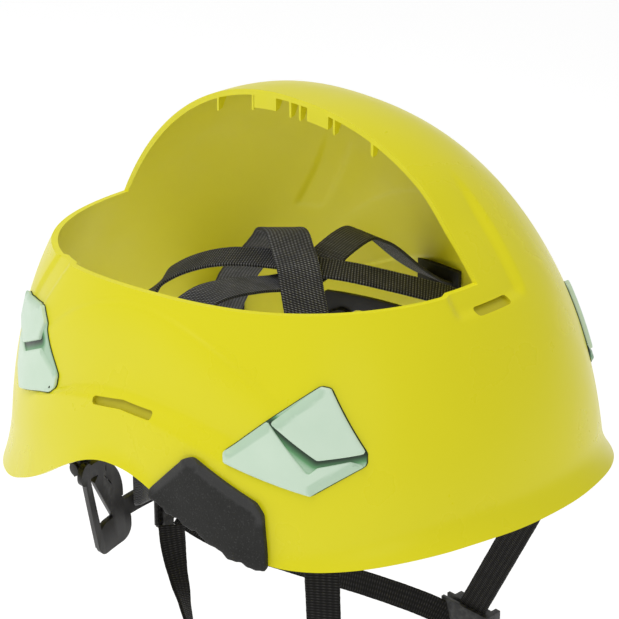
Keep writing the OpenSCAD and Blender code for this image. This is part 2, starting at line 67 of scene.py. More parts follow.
class Solid:
    """Collects points and faces in millimetres, with a material number for each face."""

    def __init__(self):
        self.points, self.faces, self.kinds, self.masks, self.uvs = [], [], [], [], []

    def add(self, points, faces, kind=0, painted_light=0.0, uv=None):
        start = len(self.points)
        points = [tuple(p) for p in points]
        self.points += points
        self.faces += [tuple(i + start for i in f) for f in faces]
        self.kinds += [kind] * len(faces)
        self.masks += list(painted_light) if hasattr(painted_light, "__len__") else [painted_light] * len(points)
        self.uvs += list(uv) if uv is not None else [(0.0, 0.0)] * len(points)

    def mesh(self, name):
        data = bpy.data.meshes.new(name)
        data.from_pydata([(x * MM, y * MM, z * MM) for x, y, z in self.points], [], self.faces)
        data.polygons.foreach_set("material_index", self.kinds)
        painted_light = data.attributes.new("painted_light", "FLOAT", "POINT")
        painted_light.data.foreach_set("value", self.masks)
        corners = np.empty(len(data.loops), dtype=np.int32)
        data.loops.foreach_get("vertex_index", corners)
        layer = data.uv_layers.new(name="weave")
        layer.data.foreach_set("uv", np.array(self.uvs, dtype=np.float32)[corners].ravel())
        return data

    def piece(self, name, materials, body, slot, replaces=(), smooth=35):
        return finish_piece(self.mesh(name), name, materials, body, replaces, smooth)


def finish_piece(data, name, materials, body, replaces=(), smooth=35):
    """Makes an object from a mesh, smooth up to an angle, and ties it to its body."""
    for material in materials:
        data.materials.append(material)
    tidy = bmesh.new()
    tidy.from_mesh(data)
    bmesh.ops.recalc_face_normals(tidy, faces=tidy.faces)
    tidy.to_mesh(data)
    tidy.free()
    data.polygons.foreach_set("use_smooth", [True] * len(data.polygons))
    data.set_sharp_from_angle(angle=math.radians(smooth))
    thing = bpy.data.objects.new(name, data)
    bpy.context.scene.collection.objects.link(thing)
    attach(thing, body)
    if replaces:
        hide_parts(*replaces)
    return thing


def grid_faces(rows, row_length, closed=False, start=0):
    """Quads between rows of points; closed joins the last point of a row to its first."""
    last = row_length if closed else row_length - 1
    faces = []
    for j in range(rows - 1):
        for i in range(last):
            a, b = start + j * row_length + i, start + j * row_length + (i + 1) % row_length
            faces.append((a, b, b + row_length, a + row_length))
    return faces


def bake_modifiers(thing):
    """Turns an object's modifiers into mesh, so that nothing is left on the piece."""
    solved = thing.evaluated_get(bpy.context.evaluated_depsgraph_get())
    data = bpy.data.meshes.new_from_object(solved)
    thing.modifiers.clear()
    old, thing.data = thing.data, data
    bpy.data.meshes.remove(old)


# ---------------------------------------------------------------- the dome, as in the CAD

HALF_WIDTH, HALF_LENGTH, CROWN, WALL = 100.0, 129.0, 156.0, 2.6
FRONT_LENGTH, FRONT_POWER = 127.0, 2.2
REAR_POWER, PROFILE_POWER, TAPER = 2.42, 2.28, 0.125
SIDE_PANEL = 3.2
RIM = [
    (0, -38), (30, -36), (45, -32), (58, -25), (70, -11), (76, 0), (82, 11), (87, 19), (91, 21),
    (96, 17), (104, 9), (112, 3), (120, -1), (128, -1), (138, 2.4), (150, 7.5), (164, 11.5), (180, 12),
]
LIP_OUT = [(0, 5), (45, 3), (70, 2.5), (90, 1.5), (110, 0), (135, 2.8), (150, 4.9), (165, 5.6), (180, 5.6)]
LIP_TALL = [(0, 34), (50, 26), (70, 14), (90, 8), (110, 8), (130, 9.5), (150, 12), (180, 12)]
CUT_X, CUT_HEIGHT, CUT_SLOPE = -1.5, 92.0, 6.4


def step_up(a, b, v):
    t = np.clip((v - a) / (b - a), 0, 1)
    return t * t * (3 - 2 * t)


def signed_power(v, p):
    return np.sign(v) * np.abs(v) ** p


def ring(z):
    t = np.clip(z / CROWN, 0, 1)
    narrow = np.maximum(1 - t ** PROFILE_POWER, 0) ** (1 / PROFILE_POWER)
    return narrow * (1 + TAPER * (1 - np.clip(z / CROWN, -1, 1)))


def power_at(y):
    return np.where(y < 0, FRONT_POWER, REAR_POWER)


def length_at(y):
    return np.where(y < 0, FRONT_LENGTH, HALF_LENGTH)


def plain(phi, z):
    c, s = np.cos(phi), np.sin(phi)
    x = signed_power(c, 2 / power_at(s)) * HALF_WIDTH * ring(z)
    y = signed_power(s, 2 / power_at(s)) * length_at(s) * ring(z)
    return np.stack([x, y, z + 0 * x], -1)


def outward(p):
    r, power, length = ring(p[..., 2]), power_at(p[..., 1]), length_at(p[..., 1])
    n = np.stack([
        signed_power(p[..., 0] / HALF_WIDTH, power - 1) / HALF_WIDTH,
        signed_power(p[..., 1] / length, power - 1) / length,
        -r ** (power - 1) * (ring(p[..., 2] + 0.5) - ring(p[..., 2] - 0.5)),
    ], -1)
    return n / np.maximum(np.linalg.norm(n, axis=-1, keepdims=True), 1e-9)


def from_rear(phi):
    a = np.abs((np.degrees(phi) - 90 + 180) % 360 - 180)
    return a


def smooth_lookup(a, table):
    """Table read at an angle, averaged over a few degrees so that its corners are round."""
    xs, ys = zip(*table)
    total = 0
    for d in (-4, -2.5, -1, 1, 2.5, 4):
        b = np.abs(a + d)
        b = np.where(b > 180, 360 - b, b)
        total = total + np.interp(b, xs, ys)
    return total / 6


def rim_z(phi):
    return smooth_lookup(from_rear(phi), RIM)


def lip(phi, z):
    a = from_rear(phi)
    h = np.clip((z - rim_z(phi)) / smooth_lookup(a, LIP_TALL), 0, 1)
    return smooth_lookup(a, LIP_OUT) * (1 - h) ** 2


def arch_z(y):
    return 89.5 - np.where(y > 0, 0.0068, 0.0041) * y * y


def band_top_z(y):
    return 54 - np.where(y > -15, 0.0037, 0.0019) * (y + 15) ** 2


def side_inset(p):
    """Side panel between an upper arch and a lower band, each a step outward going down."""
    x, y, z = p[..., 0], p[..., 1], p[..., 2]
    below = arch_z(y) - z
    above_arch = 1.7 * step_up(-26, 0, below)
    step = 1.1 * step_up(0.3, 4.2, below)
    panel = (SIDE_PANEL - 0.6) * step_up(4, 34, below)
    band = step_up(band_top_z(y) - 9 + 0.075 * y, band_top_z(y) - 1.5, z)
    ends = (1 - step_up(52, 84, y)) * (1 - step_up(60, 92, -y)) * step_up(50, 70, np.abs(x))
    return (above_arch - step + panel) * band * ends


def front_inset(p):
    x, y, z = p[..., 0], p[..., 1], p[..., 2]
    panel = 2.6 * (1 - step_up(17, 22, np.abs(x))) * step_up(94, 99, z) * (1 - step_up(122, 140, z))
    return np.where(y > 0, 0, panel)


def rear_facet(p):
    """Flat valley that runs down to the rear lamp clip on each side."""
    x, y, z = np.abs(p[..., 0]), p[..., 1], p[..., 2]
    middle = 69 + (85 - z) * 0.66
    across = 1 - step_up(5.5, 7.2, np.abs(y - middle))
    return 1.3 * across * step_up(56, 62, z) * (1 - step_up(88, 112, z)) * step_up(40, 55, x)


def relief(p, phi):
    return lip(phi, p[..., 2]) - side_inset(p) - front_inset(p) - rear_facet(p)


def skin(phi, z, offset):
    p = plain(phi, z)
    return p + outward(p) * (relief(p, phi) + offset)[..., None]


def on_side(side):
    """Places side-view points (y, z) on one side of the dome, at an offset from its skin."""
    def place(y, z, offset):
        y, z, offset = (np.asarray(v, float) for v in (y, z, offset))
        s = signed_power(np.clip(y / (length_at(y) * ring(z)), -1, 1), power_at(y) / 2)
        phi = np.arctan2(s, side * np.sqrt(np.maximum(1 - s * s, 0)))
        return skin(phi, z, offset)
    return place


def on_front(x, z, offset):
    """Places front-view points (x, z) on the forehead."""
    x, z, offset = (np.asarray(v, float) for v in (x, z, offset))
    c = signed_power(np.clip(x / (HALF_WIDTH * ring(z)), -1, 1), FRONT_POWER / 2)
    return skin(np.arctan2(-np.sqrt(np.maximum(1 - c * c, 0)), c), z, offset)


# ---------------------------------------------------------------- outlines and plates

def rounded(corners, radius, spacing=1.2):
    """Outline with round corners, as evenly spaced points. Radius may be one value or a list."""
    radii = radius if hasattr(radius, "__len__") else [radius] * len(corners)
    points = []
    for k, corner in enumerate(corners):
        p, a, b = (np.array(v, float) for v in (corner, corners[k - 1], corners[(k + 1) % len(corners)]))
        to_a, to_b = (a - p) / np.linalg.norm(a - p), (b - p) / np.linalg.norm(b - p)
        half = math.acos(float(np.clip(to_a @ to_b, -1, 1))) / 2
        reach = radii[k] / max(math.tan(half), 0.05)
        reach = min(reach, np.linalg.norm(a - p) * 0.48, np.linalg.norm(b - p) * 0.48)
        for t in np.linspace(0, 1, 7):
            start, end = p + to_a * reach, p + to_b * reach
            points.append((1 - t) ** 2 * start + 2 * t * (1 - t) * p + t * t * end)
    points = np.array(points)
    lengths = np.linalg.norm(np.roll(points, -1, 0) - points, axis=1)
    total = np.concatenate([[0], np.cumsum(lengths)])
    closed = np.vstack([points, points[:1]])
    at = np.linspace(0, total[-1], max(12, int(total[-1] / spacing)), endpoint=False)
    return np.stack([np.interp(at, total, closed[:, i]) for i in (0, 1)], -1)


def turn_sign(outline):
    x, y = outline[:, 0], outline[:, 1]
    return 1 if np.sum(x * np.roll(y, -1) - y * np.roll(x, -1)) > 0 else -1


def inward(outline):
    along = np.roll(outline, -1, 0) - np.roll(outline, 1, 0)
    along /= np.linalg.norm(along, axis=1, keepdims=True)
    return turn_sign(outline) * np.stack([-along[:, 1], along[:, 0]], -1)


def inside(points, outline):
    x, y = points[:, 0:1], points[:, 1:2]
    x1, y1 = outline[:, 0], outline[:, 1]
    x2, y2 = np.roll(x1, -1), np.roll(y1, -1)
    crosses = ((y1 > y) != (y2 > y)) & (x < (x2 - x1) * (y - y1) / (y2 - y1 + 1e-12) + x1)
    return crosses.sum(1) % 2 == 1


def edge_distance(points, outline):
    gaps = points[:, None, :] - outline[None, :, :]
    return np.sqrt((gaps ** 2).sum(-1)).min(1)


def fill(outline, spacing):
    """Triangles over an outline, with inner points on a grid."""
    low, high = outline.min(0), outline.max(0)
    xs, ys = np.meshgrid(np.arange(low[0], high[0], spacing), np.arange(low[1], high[1], spacing))
    inner = np.stack([xs.ravel(), ys.ravel()], -1)
    inner = inner[inside(inner, outline)]
    inner = inner[edge_distance(inner, outline) > spacing * 0.55]
    count = len(outline)
    points = np.vstack([outline, inner])
    edges = [(i, (i + 1) % count) for i in range(count)]
    loop = list(range(count)) if turn_sign(outline) > 0 else list(range(count))[::-1]
    made = delaunay_2d_cdt([Vector(p) for p in points], edges, [loop], 1, 1e-6)
    return np.array([tuple(v) for v in made[0]]), [tuple(f) for f in made[2]], count


def plate(solid, outline, place, height, kind=0, base=0.05, bevel=0.45, chamfer=None, spacing=2.0,
          painted_light=None):
    """Plate that follows a surface. chamfer(points) gives a wide slope's width at each edge point."""
    wide = np.zeros(len(outline)) if chamfer is None else chamfer(outline)
    def step_in(share):
        return outline + inward(outline) * (np.maximum(bevel, wide) * share)[:, None]
    drop = np.where(wide > bevel, 0.42 * wide, bevel)
    rings = [
        (outline, base + 0 * wide),
        (outline, height - drop),
        (step_in(0.12), height - drop * 0.72),
        (step_in(0.9), height - drop * 0.06),
    ]
    edge = step_in(1.0)
    count = len(outline)
    flat, triangles, _ = fill(edge, spacing)
    under, under_triangles, _ = fill(outline, spacing * 2)
    points = [place(r[:, 0], r[:, 1], h) for r, h in rings]
    start = len(points) * count
    points += [place(flat[:, 0], flat[:, 1], height + 0 * flat[:, 0])]
    under_start = start + len(flat)
    points += [place(under[:, 0], under[:, 1], base + 0 * under[:, 0])]
    points = np.vstack(points)
    faces = grid_faces(len(rings), count, closed=True)
    faces += [((len(rings) - 1) * count + i, (len(rings) - 1) * count + (i + 1) % count,
               start + (i + 1) % count, start + i) for i in range(count)]
    faces += [tuple(start + i for i in f) for f in triangles]
    faces += [tuple(under_start + i for i in f)[::-1] for f in under_triangles]
    faces += [(i, under_start + i, under_start + (i + 1) % count, (i + 1) % count) for i in range(count)]
    flats = np.vstack([r for r, _ in rings] + [flat, under])
    solid.add(points, faces, kind, painted_light(flats) if painted_light else 0.0)


def near_edge(a, b, width, reach=2.5):
    """Chamfer of a width along one straight edge, fading at its two ends."""
    a, b = np.array(a, float), np.array(b, float)
    def chamfer(points):
        along = (b - a) / np.linalg.norm(b - a)
        t = (points - a) @ along
        off = np.abs((points - a) @ np.array([-along[1], along[0]]))
        length = np.linalg.norm(b - a)
        inside_run = step_up(-1, 3, t) * (1 - step_up(length - 3, length + 1, t))
        return width * inside_run * (1 - step_up(reach * 0.4, reach, off))
    return chamfer


def either(*chamfers):
    return lambda points: np.maximum.reduce([c(points) for c in chamfers])


# ---------------------------------------------------------------- paths and webbing

def smooth_path(points, spacing=1.3):
    """Catmull-Rom curve through given points, evenly spaced."""
    p = np.array(points, float)
    p = np.vstack([2 * p[0] - p[1], p, 2 * p[-1] - p[-2]])
    out = []
    for a, b, c, d in zip(p[:-3], p[1:-2], p[2:-1], p[3:]):
        for t in np.linspace(0, 1, 24, endpoint=False):
            out.append(0.5 * (2 * b + (c - a) * t + (2 * a - 5 * b + 4 * c - d) * t ** 2
                              + (3 * b - a - 3 * c + d) * t ** 3))
    out = np.array(out + [p[-2]])
    run = np.concatenate([[0], np.cumsum(np.linalg.norm(np.diff(out, axis=0), axis=1))])
    at = np.linspace(0, run[-1], max(4, int(run[-1] / spacing)))
    return np.stack([np.interp(at, run, out[:, i]) for i in range(3)], -1), at


def directions(path, across):
    """Along, across and face directions at each point; across is given at even steps of length."""
    along = np.gradient(path, axis=0)
    along /= np.linalg.norm(along, axis=1, keepdims=True)
    across = np.array(across, float)
    at = np.linspace(0, len(across) - 1, len(path))
    wide = np.stack([np.interp(at, range(len(across)), across[:, i]) for i in range(3)], -1)
    wide -= along * (wide * along).sum(1)[:, None]
    wide /= np.linalg.norm(wide, axis=1, keepdims=True)
    return along, wide, np.cross(along, wide)


SELVEDGE = [(-1, 0), (-0.985, 0.62), (-0.945, 1.0), (-0.86, 1.08), (-0.6, 0.97), (-0.3, 1.0), (0, 1.0)]
SELVEDGE += [(-s, t) for s, t in SELVEDGE[-2::-1]]


def webbing(solid, points, across, width, thick, kind=0):
    """Woven strap along a path, with thick selvedges; uv is along and across in metres."""
    path, run = smooth_path(points)
    _, wide, face = directions(path, across)
    loop = SELVEDGE + [(s, -t) for s, t in SELVEDGE[-2:0:-1]]
    rows, uv = [], []
    for p, w, f, u in zip(path, wide, face, run):
        ripple = 1 + 0.006 * math.sin(u * 1.9) + 0.004 * math.sin(u * 4.3)
        for s, t in loop:
            rows.append(p + w * s * ripple * width / 2 + f * t * thick / 2)
            uv.append((u * MM, s * width / 2 * MM))
    count = len(loop)
    faces = grid_faces(len(path), count, closed=True)
    faces += [tuple(range(count))[::-1], tuple(range(len(rows) - count, len(rows)))]
    solid.add(rows, faces, kind, uv=uv)
    return path, wide, face


def thread(solid, points, radius=0.22, kind=0):
    """One stitch: a short round thread along a few points."""
    path = np.array(points, float)
    along = np.gradient(path, axis=0)
    along /= np.linalg.norm(along, axis=1, keepdims=True)
    side = np.cross(along, [0.31, 0.22, 0.93])
    side /= np.linalg.norm(side, axis=1, keepdims=True)
    up = np.cross(along, side)
    rows = []
    for k, (p, s, u) in enumerate(zip(path, side, up)):
        r = radius * (0.6 if k in (0, len(path) - 1) else 1)
        for a in range(6):
            rows.append(p + r * (math.cos(a * math.pi / 3) * s + math.sin(a * math.pi / 3) * u))
    faces = grid_faces(len(path), 6, closed=True)
    faces += [tuple(range(6))[::-1], tuple(range(len(rows) - 6, len(rows)))]
    solid.add(rows, faces, kind)


def stitch_line(solid, path, wide, face, shift, lift, start, end, kind, pitch=2.6):
    """Row of stitches along a strap between two shares of its length."""
    run = np.concatenate([[0], np.cumsum(np.linalg.norm(np.diff(path, axis=0), axis=1))])
    at = run[-1] * start
    while at < run[-1] * end:
        pair = []
        for u in (at, at + pitch * 0.32, at + pitch * 0.64):
            k = min(int(np.searchsorted(run, u)), len(path) - 1)
            pair.append(path[k] + wide[k] * shift + face[k] * lift)
        if np.linalg.norm(pair[2] - pair[0]) > 0.4:
            pair[1] = pair[1] + face[k] * 0.12 * np.sign(lift)
            thread(solid, pair, 0.16, kind)
        at += pitch


def box_tack(solid, path, wide, face, at, lift, long, across, kind, rounds=11):
    """Dense zigzag tack across a strap, oval in outline."""
    k = int(at * (len(path) - 1))
    along = path[min(k + 1, len(path) - 1)] - path[k]
    along = along / np.linalg.norm(along)
    centre = path[k] + face[k] * lift
    for i in range(rounds):
        a = 2 * math.pi * i / rounds
        b = a + 0.55
        ends = [centre + wide[k] * across * math.cos(t) + along * long * math.sin(t) for t in (a, b)]
        middle = (ends[0] + ends[1]) / 2 + face[k] * 0.3 * np.sign(lift)
        thread(solid, [ends[0], middle, ends[1]], 0.34, kind)
        inner = [centre + wide[k] * across * 0.62 * math.cos(t) + along * long * 0.6 * math.sin(t)
                 for t in (a, b)]
        thread(solid, [inner[0], (inner[0] + ends[1]) / 2, ends[1]], 0.26, kind)


# ---------------------------------------------------------------- materials

class Nodes:
    """Short hand for a material's node tree, in object coordinates (metres)."""

    def __init__(self, name):
        self.material = bpy.data.materials.new(name)
        self.material.use_nodes = True
        self.tree = self.material.node_tree
        self.shader = self.tree.nodes["Principled BSDF"]
        self.coords = self.tree.nodes.new("ShaderNodeTexCoord")

    def link(self, a, b):
        self.tree.links.new(a, b)

    def math(self, operation, *values):
        node = self.tree.nodes.new("ShaderNodeMath")
        node.operation = operation
        for k, value in enumerate(values):
            if isinstance(value, (int, float)):
                node.inputs[k].default_value = value
            else:
                self.link(value, node.inputs[k])
        return node.outputs[0]

    def noise(self, size_mm, detail=3.0, stretch=None):
        node = self.tree.nodes.new("ShaderNodeTexNoise")
        node.inputs["Scale"].default_value = 1000.0 / size_mm
        node.inputs["Detail"].default_value = detail
        source = self.coords.outputs["Object"]
        if stretch:
            mapping = self.tree.nodes.new("ShaderNodeMapping")
            mapping.inputs["Scale"].default_value = stretch
            self.link(source, mapping.inputs["Vector"])
            source = mapping.outputs["Vector"]
        self.link(source, node.inputs["Vector"])
        return node.outputs["Fac"]

    def cells(self, size_mm):
        node = self.tree.nodes.new("ShaderNodeTexVoronoi")
        node.inputs["Scale"].default_value = 1000.0 / size_mm
        self.link(self.coords.outputs["Object"], node.inputs["Vector"])
        return node.outputs["Distance"]

    def spread(self, value, low, high, out_low=0.0, out_high=1.0):
        node = self.tree.nodes.new("ShaderNodeMapRange")
        for key, number in (("From Min", low), ("From Max", high), ("To Min", out_low), ("To Max", out_high)):
            node.inputs[key].default_value = number
        self.link(value, node.inputs["Value"])
        return node.outputs["Result"]

    def blend(self, share, a, b):
        node = self.tree.nodes.new("ShaderNodeMix")
        node.data_type = "RGBA"
        self.link(share, node.inputs[0])
        for value, socket in ((a, node.inputs[6]), (b, node.inputs[7])):
            if isinstance(value, tuple):
                socket.default_value = (*value, 1.0)
            else:
                self.link(value, socket)
        return node.outputs[2]

    def attribute(self, name):
        node = self.tree.nodes.new("ShaderNodeAttribute")
        node.attribute_name = name
        return node.outputs["Fac"]

    # how convex the surface is, by pointiness; it places the painted edge highlights
    def convex_edges(self, low=0.52, high=0.6):
        node = self.tree.nodes.new("ShaderNodeNewGeometry")
        return self.spread(node.outputs["Pointiness"], low, high)

    def colour(self, value):
        self.link(value, self.shader.inputs["Base Color"])

    def roughness(self, value):
        self.link(value, self.shader.inputs["Roughness"])

    def bump(self, height, depth_mm, strength=1.0):
        node = self.tree.nodes.new("ShaderNodeBump")
        node.inputs["Distance"].default_value = depth_mm * MM
        node.inputs["Strength"].default_value = strength
        self.link(height, node.inputs["Height"])
        self.link(node.outputs["Normal"], self.shader.inputs["Normal"])

    def set(self, **values):
        for key, value in values.items():
            self.shader.inputs[key.replace("_", " ").title().replace("Ior", "IOR")].default_value = value
        return self


def scaled(colour, factor):
    return tuple(min(1.0, c * factor) for c in colour)


def moulded(name, colour, rough, grain_mm=0.5, depth_mm=0.02, vary=0.06, edge_highlight=0.0, patch_mm=30.0):
    """Moulded plastic: slow colour variation, uneven gloss and a fine surface grain; convex edges can be
    painted lighter in patches, a painted highlight.
    """
    n = Nodes(name)
    slow = n.noise(patch_mm, 2.0)
    base = n.blend(slow, scaled(colour, 1 - vary), scaled(colour, 1 + vary))
    # painted highlight: lighter patches on convex edges
    if edge_highlight:
        edge_glint = n.math("MULTIPLY", n.convex_edges(), n.spread(n.noise(3.0), 0.4, 0.65))
        base = n.blend(n.math("MULTIPLY", edge_glint, edge_highlight), base, scaled(tuple(c + 0.05 for c in colour), 1.6))
    n.colour(base)
    n.roughness(n.spread(n.noise(patch_mm * 0.4, 4.0), 0.3, 0.7, rough - 0.05, rough + 0.06))
    n.bump(n.noise(grain_mm, 2.0), depth_mm)
    if max(colour) < 0.1:
        n.set(specular_ior_level=0.25)
    return n


def woven(name, dark, light, rib_mm, cross_mm, slant):
    """Webbing: ribs and floats from the strap's own length and width; the raised threads are painted lighter,
    as highlights.
    """
    n = Nodes(name)
    split = n.tree.nodes.new("ShaderNodeSeparateXYZ")
    uv = n.tree.nodes.new("ShaderNodeUVMap")
    uv.uv_map = "weave"
    n.link(uv.outputs["UV"], split.inputs["Vector"])
    u, v = split.outputs["X"], split.outputs["Y"]
    turns = 2 * math.pi / (rib_mm * MM)
    cross_turns = 2 * math.pi / (cross_mm * MM)
    phase = n.math("MULTIPLY", v, slant * turns)
    rib = n.math("SINE", n.math("ADD", n.math("MULTIPLY", u, turns), phase))
    cross = n.math("SINE", n.math("MULTIPLY", v, cross_turns))
    rib = n.spread(rib, -1, 1)
    cross = n.spread(cross, -1, 1, 0.45, 1.0)
    height = n.math("MULTIPLY", rib, cross)
    fuzz = n.spread(n.noise(0.9, 4.0), 0.35, 0.7)
    slow = n.spread(n.noise(9.0, 3.0), 0.3, 0.7, 0.55, 1.15)
    # painted highlight: the raised threads lighter, in the strap's second colour
    lit = n.math("MULTIPLY", n.math("POWER", height, 2.2), slow)
    lit = n.math("MULTIPLY", lit, n.spread(fuzz, 0, 1, 0.55, 1.0))
    n.colour(n.blend(lit, dark, light))
    n.roughness(n.spread(height, 0, 1, 0.85, 0.62))
    n.bump(n.math("ADD", height, n.math("MULTIPLY", fuzz, 0.25)), 0.28)
    n.set(sheen_weight=0.04, sheen_roughness=0.5, specular_ior_level=0.15)
    return n.material


YELLOW = (0.80, 0.735, 0.0065)


def shell_material():
    n = moulded("shell_yellow", YELLOW, 0.30, grain_mm=0.9, depth_mm=0.012, vary=0.018, patch_mm=70)
    n.set(specular_ior_level=0.32)
    return n.material


def inside_material():
    # The inner wall is a lighter, greyer copy of the shell yellow, painted to stand in for light bounced and
    # reflected into the inside.
    colour = (0.86, 0.79, 0.022)
    n = moulded("shell_inside_brightened", colour, 0.46, grain_mm=0.6, depth_mm=0.03, vary=0.04, patch_mm=50)
    return n.material


def cut_material():
    colour = (0.86, 0.80, 0.012)
    n = moulded("shell_cut_edge", colour, 0.5, grain_mm=0.35, depth_mm=0.02, vary=0.03, patch_mm=12)
    return n.material


def cover_material():
    """Black cover with spark-eroded grain; a value on each vertex paints its sloped top edge lighter grey, a
    painted highlight.
    """
    n = Nodes("cover_black")
    grain = n.cells(0.55)
    # painted glints: tiny lighter grey specks where the grain would catch the light
    glints = n.spread(n.noise(0.8, 4.0), 0.56, 0.72)
    base = n.blend(n.noise(14.0, 3.0), (0.014, 0.014, 0.013), (0.026, 0.026, 0.024))
    base = n.blend(n.math("MULTIPLY", glints, 0.30), base, (0.10, 0.10, 0.098))
    # painted highlight: the upward sloped top edge lighter grey
    base = n.blend(n.math("MULTIPLY", n.attribute("painted_light"), 0.55), base, (0.065, 0.065, 0.064))
    n.colour(base)
    n.roughness(n.spread(n.noise(6.0), 0.3, 0.7, 0.46, 0.6))
    n.set(specular_ior_level=0.22)
    n.bump(n.math("ADD", grain, n.math("MULTIPLY", n.noise(0.3), 0.6)), 0.07)
    return n.material


def clip_material():
    """Pale green; a value on each vertex paints shade into the strap groove, from green to nearly black, and a
    little painted shade on the wedges' sloped edges.
    """
    n = Nodes("clip_pale_green")
    painted_light = n.attribute("painted_light")
    base = n.blend(n.noise(16.0, 2.0), (0.60, 0.77, 0.60), (0.68, 0.83, 0.67))
    # painted shade: darker green, then nearly black, where the groove lies under the upper wedge
    base = n.blend(n.spread(painted_light, 0.0, 0.5), base, (0.13, 0.36, 0.15))
    base = n.blend(n.spread(painted_light, 0.45, 1.0), base, (0.008, 0.022, 0.009))
    n.colour(base)
    n.roughness(n.spread(n.noise(5.0), 0.3, 0.7, 0.30, 0.42))
    n.bump(n.noise(0.7, 2.0), 0.012)
    return n.material


def padding_material():
    """Knitted pad cover: fine loops in rows."""
    n = Nodes("pad_knit")
    split = n.tree.nodes.new("ShaderNodeSeparateXYZ")
    uv = n.tree.nodes.new("ShaderNodeUVMap")
    uv.uv_map = "weave"
    n.link(uv.outputs["UV"], split.inputs["Vector"])
    turns = 2 * math.pi / (1.1 * MM)
    row = n.math("SINE", n.math("MULTIPLY", split.outputs["X"], turns))
    column = n.math("SINE", n.math("MULTIPLY", split.outputs["Y"], turns * 0.8))
    loops = n.spread(n.math("MULTIPLY", row, column), -1, 1)
    n.colour(n.blend(loops, (0.018, 0.018, 0.02), (0.075, 0.075, 0.08)))
    n.roughness(n.spread(n.noise(4.0), 0.3, 0.7, 0.8, 0.95))
    n.bump(n.math("ADD", loops, n.math("MULTIPLY", n.noise(0.6), 0.5)), 0.2)
    n.set(sheen_weight=0.3)
    return n.material


def floor_material():
    n = Nodes("floor_pale")
    n.colour(n.blend(n.noise(400.0, 2.0), (0.90, 0.90, 0.90), (0.93, 0.93, 0.93)))
    n.set(roughness=0.9, specular_ior_level=0.1, emission_color=(1, 1, 1, 1), emission_strength=0.34)
    return n.material


BLACK_PLASTIC = (0.016, 0.015, 0.0145)
shell_paint, shell_inner, shell_cut = shell_material(), inside_material(), cut_material()
# darker yellow for the accessory slot pockets, painted shade in the recesses
shell_recess_shade = moulded("shell_recess_shade", (0.55, 0.49, 0.004), 0.55, grain_mm=0.8, vary=0.03).material
cover_black, clip_green, pad_knit = cover_material(), clip_material(), padding_material()
# clip_shadow: near-black green, a painted contact shadow round the foot of each lamp clip
clip_shadow = moulded("clip_rim_shadow", (0.012, 0.03, 0.014), 0.6).material
# The black parts below get a painted highlight, lighter in patches on their convex edges.
band_plastic = moulded("band_plastic", BLACK_PLASTIC, 0.38, grain_mm=0.6, edge_highlight=0.35).material
anchor_plastic = moulded("anchor_plastic", (0.018, 0.018, 0.018), 0.45, grain_mm=0.5, edge_highlight=0.3).material
fitting_plastic = moulded("fitting_plastic", (0.022, 0.022, 0.023), 0.34, grain_mm=0.4, edge_highlight=0.4).material
wheel_plastic = moulded("wheel_plastic", (0.034, 0.034, 0.035), 0.42, grain_mm=0.5, edge_highlight=0.3).material
rivet_plastic = moulded("rivet_plastic", (0.04, 0.04, 0.04), 0.3, grain_mm=0.6, edge_highlight=0.3).material
red_plastic = moulded("button_red", (0.42, 0.05, 0.03), 0.32, grain_mm=0.5, vary=0.08).material
thread_grey = moulded("thread_grey", (0.10, 0.10, 0.105), 0.7, grain_mm=0.3, depth_mm=0.05).material
# The second colour of each weave is the painted highlight on its raised threads.
chin_weave = woven("chin_webbing", (0.008, 0.0075, 0.007), (0.055, 0.053, 0.052), 1.25, 2.6, 0.0)
twill_weave = woven("cradle_twill", (0.020, 0.020, 0.022), (0.36, 0.36, 0.38), 1.15, 1.5, 0.55)
rib_weave = woven("cradle_ribs", (0.010, 0.010, 0.011), (0.24, 0.24, 0.255), 1.3, 1.9, 0.12)


# ---------------------------------------------------------------- shell

# Ribs under the crown: place along y, thickness and depth.
RIBS = [
    (56, 1.2, 6), (33, 1.2, 7), (25, 14, 6), (9, 1.2, 7),
    (3, 1.2, 7), (-8, 13, 6), (-18, 1.2, 7), (-41, 1.4, 6),
]


def dome_mesh(columns=480, levels=170):
    phi = 2 * np.pi * np.arange(columns) / columns
    low = rim_z(phi)
    outer, inner = [], []
    for j in range(levels):
        z = low + (CROWN - low) * math.sin(math.pi / 2 * j / levels)
        outer.append(skin(phi, z, 0 * z))
        inner.append(skin(phi, z, 0 * z - WALL))
    count = columns * levels
    points = np.vstack(outer + inner + [[[0, 0, CROWN]], [[0, 0, CROWN - WALL]]])
    faces = grid_faces(levels, columns, closed=True)
    faces += [f[::-1] for f in grid_faces(levels, columns, closed=True, start=count)]
    for i in range(columns):
        a, b = i, (i + 1) % columns
        top = (levels - 1) * columns
        faces.append((top + a, top + b, 2 * count))
        faces.append((count + top + b, count + top + a, 2 * count + 1))
        faces.append((b, a, count + a, count + b))
    kinds = [0] * (columns * (levels - 1)) + [1] * (columns * (levels - 1)) + [0, 1, 0] * columns
    solid = Solid()
    solid.add(points, faces)
    solid.kinds = kinds
    return solid


def boolean(thing, other, operation):
    change = thing.modifiers.new("shape", "BOOLEAN")
    change.object = other
    change.operation = operation
    change.solver = "MANIFOLD"
    bake_modifiers(thing)
    bpy.data.objects.remove(other, do_unlink=True)


def helper(solid, name, materials):
    data = solid.mesh(name)
    for material in materials:
        data.materials.append(material)
    tidy = bmesh.new()
    tidy.from_mesh(data)
    bmesh.ops.remove_doubles(tidy, verts=tidy.verts, dist=1e-7)
    bmesh.ops.recalc_face_normals(tidy, faces=tidy.faces)
    tidy.to_mesh(data)
    tidy.free()
    thing = bpy.data.objects.new(name, data)
    bpy.context.scene.collection.objects.link(thing)
    return thing


